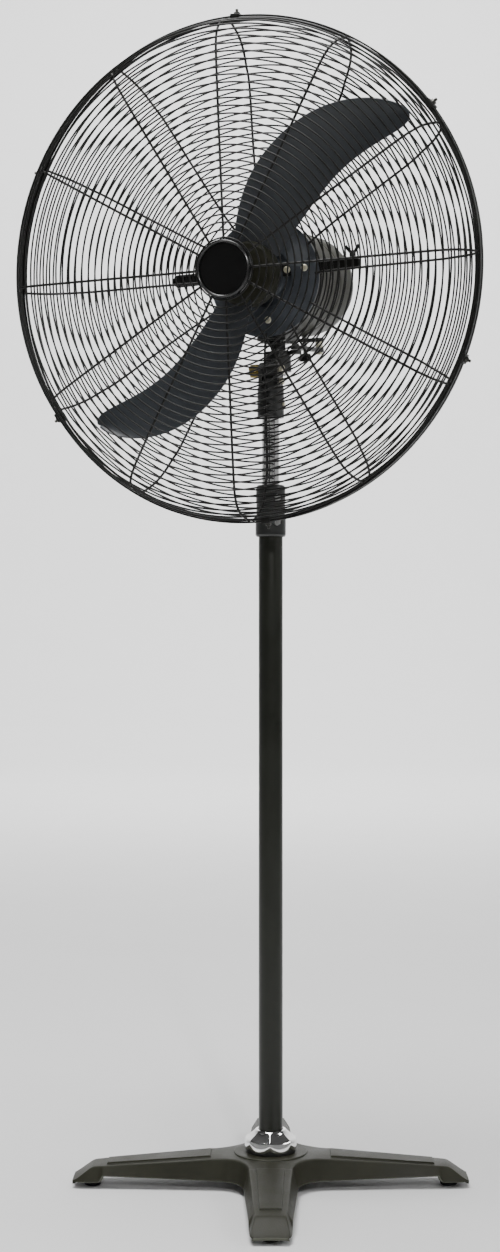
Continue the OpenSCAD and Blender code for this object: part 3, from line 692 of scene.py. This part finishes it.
# Radius and height of each guard, measured from the middle of the rim.
FRONT_LINE = smooth_curve([(0.040, 0.0600), (0.060, 0.0608), (0.240, 0.0610), (0.315, 0.0600),
                           (0.338, 0.0575), (0.353, 0.0515), (0.363, 0.0410), (0.369, 0.0290),
                           (0.376, 0.0090)])
REAR_LINE = smooth_curve([(0.084, -0.0965), (0.110, -0.0880), (0.150, -0.0820), (0.218, -0.0775),
                          (0.270, -0.0760), (0.300, -0.0730), (0.318, -0.0660), (0.335, -0.0600),
                          (0.350, -0.0510), (0.362, -0.0380), (0.370, -0.0230), (0.376, -0.0090)])


def spaced(line, start, step):
    """Points on the line, one step apart along its length, from the given radius outwards."""
    path = [Vector((start, height_at(line, start)))] + [Vector(p) for p in line if p[0] > start]
    travelled = 0.0
    due = 0.0
    for here, there in zip(path, path[1:]):
        length = (there - here).length
        while due <= travelled + length:
            yield here.lerp(there, (due - travelled) / length)
            due += step
        travelled += length


def guard_rings(line, start, side):
    """Evenly spaced rings and an end ring on the band; side is 1 in front and -1 behind."""
    shapes = []
    for radius, height in list(spaced(line, start, RING_PITCH))[:-1]:
        segments = 96 if radius < 0.12 else 192
        shapes.append(ring_wire(radius, height, WIRE, segments))
    shapes.append(ring_wire(RING_END, side * BAND_HALF, END_WIRE))
    return join(*shapes)


def guard_spokes(line, start, side, roll):
    """Spokes welded to the inner side of the rings."""
    inward = side * (WIRE + SPOKE - WELD)
    path = [(r, 0.0, z - inward) for r, z in line if r >= start]
    path[-1] = (path[-1][0] + 0.001, 0.0, path[-1][2])
    spoke = wire_along(path, SPOKE)
    return repeat(spoke, [turned(roll + 360 / SPOKES * k) for k in range(SPOKES)])


def rim_band():
    """A band with beaded edges and a groove round its middle."""
    e = BAND_HALF
    outline = [(-0.0027, -e), (-0.0006, -e - 0.0003), (0.0002, -e + 0.0012), (0, -e + 0.0024),
               (0, -0.0028), (-0.0012, -0.0016), (-0.0012, 0.0016), (0, 0.0028),
               (0, e - 0.0024), (0.0002, e - 0.0012), (-0.0006, e + 0.0003), (-0.0027, e),
               (-0.0017, e - 0.0024), (-0.0015, 0), (-0.0017, -e + 0.0024)]
    outline = rounded([(RIM + r, z) for r, z in outline], 0.0006, 3, closed=True)
    return revolve(outline, 256, closed=True)


def cage_clip():
    """A strap folded over both edges of the band, with its screw standing outwards."""
    tip = RIM - 0.007
    inner, outer = RIM + 0.0004, RIM + 0.0022
    low, high = BAND_HALF + 0.0004, BAND_HALF + 0.0022
    outline = rounded([(tip, low), (inner, low), (inner, -low), (tip, -low), (tip, -high),
                       (outer, -high), (outer, high), (tip, high)], 0.0012, 3, closed=True)
    return put(prism(outline, -CLIP_HALF, CLIP_HALF), turned(90, "X"))


def clip_screw():
    place = moved(RIM + 0.0022) @ turned(90, "Y")
    head = put(hex_head(0.0048, 0.0035), place)
    outline = [(0.0022, 0.003), (0.0022, 0.0075), (0.0016, 0.0082), (CORE, 0.0082)]
    stem = put(revolve(rounded(outline, 0.0004), 24), place)
    return join(head, stem)


def build_cage():
    cage = FAN @ moved(z=RIM_FRONT)
    piece("front_rings", guard_rings(FRONT_LINE, FRONT_RINGS_START, 1), cage, "head",
          "guard_wire", ["front_guard_rings"])
    piece("rear_rings", guard_rings(REAR_LINE, REAR_RINGS_START, -1), cage, "head",
          "guard_wire", ["rear_guard_rings"])
    piece("front_spokes", guard_spokes(FRONT_LINE, FRONT_SPOKES_START, 1, FRONT_ROLL), cage,
          "head", "guard_wire", ["front_guard_spokes"])
    piece("rear_spokes", guard_spokes(REAR_LINE, REAR_SPOKES_START, -1, REAR_ROLL), cage,
          "head", "guard_wire", ["rear_guard_spokes"])
    piece("rim", rim_band(), cage, "head", "guard_wire", ["rim_band"])
    clips = [turned(a) for a in CLIP_ANGLES]
    piece("cage_clips", repeat(cage_clip(), clips), cage, "head", "guard_wire", ["guard_clips"])
    piece("cage_clip_screws", repeat(clip_screw(), clips), cage, "head", "steel", ["clip_screws"],
          look="screw_black")


# Badge ----------------------------------------------------------------------

BADGE_AHEAD = 0.059


def build_badge():
    place = FAN @ moved(z=RIM_FRONT + BADGE_AHEAD)
    face = rounded([(CORE, 0.0066), (0.0372, 0.0062), (0.0384, 0.0050), (0.0384, 0.0),
                    (CORE, 0.0)], 0.001)
    piece("badge_face", revolve(face, 128), place, "head", "black_plastic", ["badge"],
          look="badge_black")
    rim = rounded([(0.0388, 0.0004), (0.0388, 0.0066), (0.0406, 0.0078), (0.0426, 0.0066),
                   (0.0440, 0.0030), (0.0440, -0.0010), (0.0420, -0.0020), (0.0388, -0.0020)],
                  0.001, closed=True)
    piece("badge_ring", revolve(rim, 128, closed=True), place, "head", "black_plastic",
          ["badge_rim"])


# Propeller ------------------------------------------------------------------

BLADE_ANGLE = 66.5
ROOT = 0.022
TIP = 0.343
# The blade widens to NECK_RADIUS, bends back and widens to WIDE_RADIUS, then rounds off.
NECK_RADIUS = 0.060
WIDE_RADIUS = 0.180
ROOT_HALF = 0.020
NECK_HALF = 0.036
WIDE_HALF = 0.051
SWEEP = 0.0018
SWEEP_POWER = 1.7
# Past SPIDER it is hollow in front and its pitch, in degrees, falls towards the tip.
SPIDER = 0.082
PITCH = 26
PITCH_FALL = 13
CAMBER = 0.005
CAMBER_LENGTH = 0.080


def smooth_step(t):
    t = min(1, max(0, t))
    return t * t * (3 - 2 * t)


def blade_half_width(r):
    if r < NECK_RADIUS:
        share = smooth_step((r - ROOT) / (NECK_RADIUS - ROOT))
        return ROOT_HALF + (NECK_HALF - ROOT_HALF) * share
    if r < WIDE_RADIUS:
        share = math.sin(math.pi / 2 * (r - NECK_RADIUS) / (WIDE_RADIUS - NECK_RADIUS))
        return NECK_HALF + (WIDE_HALF - NECK_HALF) * share
    share = (r - WIDE_RADIUS) / (TIP - WIDE_RADIUS)
    return WIDE_HALF * math.sqrt(max(0.004, 1 - share ** 3))


def blade_point(r, v):
    """A point of the blade at radius r, with v from -1 to 1 across it."""
    across = v * blade_half_width(r) / r
    past_neck = max(0, 1000 * (r - NECK_RADIUS))
    a = across - math.radians(SWEEP * past_neck ** SWEEP_POWER)
    pitch = math.radians(PITCH - PITCH_FALL * max(0, (r - SPIDER) / (TIP - SPIDER)))
    camber = CAMBER * (1 - v * v) * smooth_step((r - SPIDER) / CAMBER_LENGTH)
    return r * math.cos(a), r * math.sin(a), r * math.sin(across) * math.tan(pitch) - camber


def blade_shape():
    """The blade's sheet, with its points closer together near the tip and the edges."""
    stations = 64
    columns = 20
    radii = [ROOT + (TIP - ROOT) * math.sin(math.pi / 2 * i / stations)
             for i in range(stations + 1)]
    shares = [math.sin(math.pi / 2 * (-1 + 2 * j / columns)) for j in range(columns + 1)]
    return grid([[blade_point(r, v) for v in shares] for r in radii])


def hub_cup():
    """The hub's hollow cup, whose side the blades come out of."""
    outline = [(0.0160, -0.0140), (0.0160, 0.0090), (0.0470, 0.0090), (0.0475, -0.0150),
               (0.0500, -0.0150), (0.0500, 0.0060), (0.0455, 0.0125), (0.0300, 0.0150),
               (0.0080, 0.0152), (0.0080, -0.0140)]
    return revolve(rounded(outline, 0.003, closed=True), 128, closed=True)


def build_propeller():
    place = FAN @ moved(z=PROP_FRONT)
    piece("hub", hub_cup(), place, "rotor", "motor_paint", ["blade_hub"])
    sheet = ("SOLIDIFY", {"thickness": 0.002, "offset": 0})
    for k, node in enumerate(("blade_1", "blade_2")):
        piece("blade_sheet_" + node[-1], blade_shape(), place @ turned(BLADE_ANGLE + 180 * k),
              "rotor", "blade_paint", [node], sharp=60, modifiers=[sheet, bevelled(0.0006, 2, 50)])


# Motor ----------------------------------------------------------------------

MOTOR_REAR = -0.205
JOIN_AT = -0.105


def build_motor():
    shell = rounded([(0.0795, 0.0), (0.0805, 0.0), (0.0820, -0.0015), (0.0820, -0.006),
                     (0.0813, -0.008), (0.0813, -0.096), (0.0820, -0.098), (0.0820, JOIN_AT),
                     (0.0795, JOIN_AT)], 0.001)
    piece("shell", revolve(shell, 128), FAN, "head", "motor_paint", ["motor_shell"])
    cover = rounded([(0.0795, JOIN_AT), (0.0820, -0.1058), (0.0822, -0.112),
                     (0.0818, MOTOR_REAR + 0.046), (0.0788, MOTOR_REAR + 0.030),
                     (0.0718, MOTOR_REAR + 0.016), (0.0600, MOTOR_REAR + 0.006),
                     (0.0420, MOTOR_REAR + 0.001), (CORE, MOTOR_REAR)], 0.006)
    piece("tail_cover", revolve(cover, 128), FAN, "head", "motor_paint", ["rear_cover"])
    bell = rounded([(0.0795, 0.0004), (0.0815, 0.0006), (0.0822, 0.0050), (0.0780, 0.0085),
                    (0.0755, 0.0100), (0.0330, 0.0100), (0.0300, 0.0115), (0.0245, 0.0215),
                    (0.0195, 0.0240), (0.0100, 0.0240)], 0.0015)
    # The bell's blue-grey is painted light on what is the motor's black-painted front face.
    piece("bell", revolve(bell, 128), FAN, "head", "bell_paint", ["front_bell"])


# Support arms ---------------------------------------------------------------

ARMS_UP = 0.0087
ARMS_ROLL = 1.7
ARM_FACE = 0.0128
RIDGE_SPAN = (0.078, 0.146)
RIDGE_UP = 0.0075
RIDGE_HALF = 0.0012
RIDGE_LIFT = 0.0013
# Heights of the screw heads: on the bell's flange and nearer the middle.
FLANGE_FACE = 0.0154
BELL_FACE = 0.0130


def on_arms(x, z):
    return moved(y=ARMS_UP) @ turned(ARMS_ROLL) @ moved(x=x, z=z)


def arm_ridges():
    """Two raised lines along each arm, with rounded ends."""
    start, end = RIDGE_SPAN
    ridges = []
    for side in (-1, 1):
        for middle in (-RIDGE_UP, RIDGE_UP):
            low, high = middle - RIDGE_HALF, middle + RIDGE_HALF
            outline = rounded([(start, low), (end, low), (end, high), (start, high)], 0.0011,
                              closed=True)
            ridges.append(prism([(side * x, y) for x, y in outline], 0, RIDGE_LIFT))
    return put(join(*ridges), on_arms(0, ARM_FACE))


def build_supports():
    head = cross_head(0.0055, 0.0034, 0.0016, 0.0015)
    places = [on_arms(x, z) for x, z in ((-0.068, FLANGE_FACE), (-0.038, BELL_FACE),
                                         (0.038, BELL_FACE), (0.068, FLANGE_FACE))]
    places += [turned(a) @ moved(x=0.066, z=FLANGE_FACE) for a in (94, 274)]
    piece("bell_screws", repeat(head, places), FAN, "head", "zinc", ["flange_screws"])
    piece("arm_ridges", arm_ridges(), FAN, "head", "head_black", modifiers=[bevelled(0.0004)])
    for node in ("support_arms", "wing_nut", "rear_guard_plate"):
        refined(node)


# Neck -----------------------------------------------------------------------

SADDLE_HALF = 0.011
SADDLE_TOP = 0.017
SADDLE_LOW = 0.0275
SADDLE_HOLLOW = 0.0134
EAR_GAP_HALF = 0.0096


def hinge_saddle():
    """The web between the socket's ears, hollowed to clear the tilting tongue."""
    top = HINGE.z - SADDLE_TOP
    low = HINGE.z - SADDLE_LOW
    outline = [(-SADDLE_HALF, low), (-SADDLE_HALF, top)]
    outline += circle(SADDLE_HOLLOW, 9, 0, HINGE.z, 245, 50)
    outline += [(SADDLE_HALF, top), (SADDLE_HALF, low)]
    sideways = Matrix(((0, 0, 1), (1, 0, 0), (0, 1, 0))).to_4x4()
    return put(prism(outline, -EAR_GAP_HALF, EAR_GAP_HALF), sideways)


def build_neck():
    piece("hinge_saddle", hinge_saddle(), FLOOR, "mast", "head_black", modifiers=[bevelled(0.0005)])
    for node in ("neck_socket", "neck_body", "motor_mount", "crank_arm", "link_rod", "crank_pin",
                 "tilt_knob", "oscillation_knob", "tilt_bolt", "socket_screws", "clamp_screws",
                 "speed_knob", "cable_gland", "hub_nut", "mount_screws"):
        refined(node, 0.0005)


# Studio ---------------------------------------------------------------------

# The floor runs out flat, curves up to a wall all round and is open on top.
FLOOR_RADIUS = 9
CURVE_RADIUS = 3
WALL_TOP = 9
FLOOR_TONES = ((0.78, 0.78, 0.78), (0.81, 0.81, 0.81))
# The sky's strength near the horizon and overhead.
SKY_LOW = 0.16
SKY_HIGH = 1.5
CAMERA_AZIMUTH = math.radians(22.5)
CAMERA_DISTANCE = 3.05
CAMERA_HEIGHT = 0.8776
# In millimetres, and as a share of the picture's longer side.
CAMERA_SENSOR = 36
CAMERA_LENS = 55.725
CAMERA_SHIFT = -0.01653


def area_light(name, place, target, size, power):
    light = bpy.data.lights.new(name, "AREA")
    light.shape = "DISK"
    light.size = size
    light.energy = power
    obj = bpy.data.objects.new(name, light)
    obj.location = place
    obj.rotation_euler = (Vector(target) - Vector(place)).to_track_quat("-Z", "Y").to_euler()
    bpy.context.scene.collection.objects.link(obj)


def build_studio():
    pale = bpy.data.materials.new("studio_floor")
    pale.use_nodes = True
    nodes = pale.node_tree.nodes
    links = pale.node_tree.links
    shader = nodes["Principled BSDF"]
    place = nodes.new("ShaderNodeTexCoord").outputs["Object"]
    tone = add_noise(nodes, links, place, 3, 4)
    links.new(mix_colors(nodes, links, tone, *FLOOR_TONES), shader.inputs["Base Color"])
    shader.inputs["Roughness"].default_value = 0.9
    sweep = [(0.001, 0), (2, 0), (6, 0)]
    sweep += circle(CURVE_RADIUS, 13, FLOOR_RADIUS, CURVE_RADIUS, -90, 90)
    points, faces = revolve(sweep + [(FLOOR_RADIUS + CURVE_RADIUS, WALL_TOP)])
    data = bpy.data.meshes.new("studio_sweep")
    data.from_pydata(points, [], faces)
    data.shade_smooth()
    data.materials.append(pale)
    floor = bpy.data.objects.new("studio_sweep", data)
    bpy.context.scene.collection.objects.link(floor)

    world = bpy.data.worlds.new("studio_world")
    world.use_nodes = True
    nodes = world.node_tree.nodes
    links = world.node_tree.links
    direction = nodes.new("ShaderNodeSeparateXYZ")
    links.new(nodes.new("ShaderNodeTexCoord").outputs["Generated"], direction.inputs["Vector"])
    glow = spread(nodes, links, direction.outputs["Z"], SKY_LOW, SKY_HIGH, 0.25, 0.85)
    links.new(glow, nodes["Background"].inputs["Strength"])
    bpy.context.scene.world = world
    area_light("key", (1.9, -3.2, 2.7), (0, 0, 1.35), 0.14, 40)
    area_light("top", (-0.3, -0.6, 4.4), (0, 0, 0.6), 2.4, 260)
    area_light("right", (3.2, 0.4, 2.6), (0, 0, 1.2), 1.2, 30)
    area_light("backdrop", (-2.2, 5.5, 6.5), (-4.0, 10.0, 1.5), 4.0, 1050)


def build_camera():
    data = bpy.data.cameras.new("camera")
    data.sensor_width = CAMERA_SENSOR
    data.lens = CAMERA_LENS
    data.shift_x = CAMERA_SHIFT
    camera = bpy.data.objects.new("camera", data)
    camera.location = (CAMERA_DISTANCE * math.sin(CAMERA_AZIMUTH),
                       -CAMERA_DISTANCE * math.cos(CAMERA_AZIMUTH), CAMERA_HEIGHT)
    camera.rotation_euler = (math.radians(90), 0, CAMERA_AZIMUTH)
    bpy.context.scene.collection.objects.link(camera)
    bpy.context.scene.camera = camera


build_base()
build_column()
build_cage()
build_badge()
build_propeller()
build_motor()
build_supports()
build_neck()
build_studio()
build_camera()
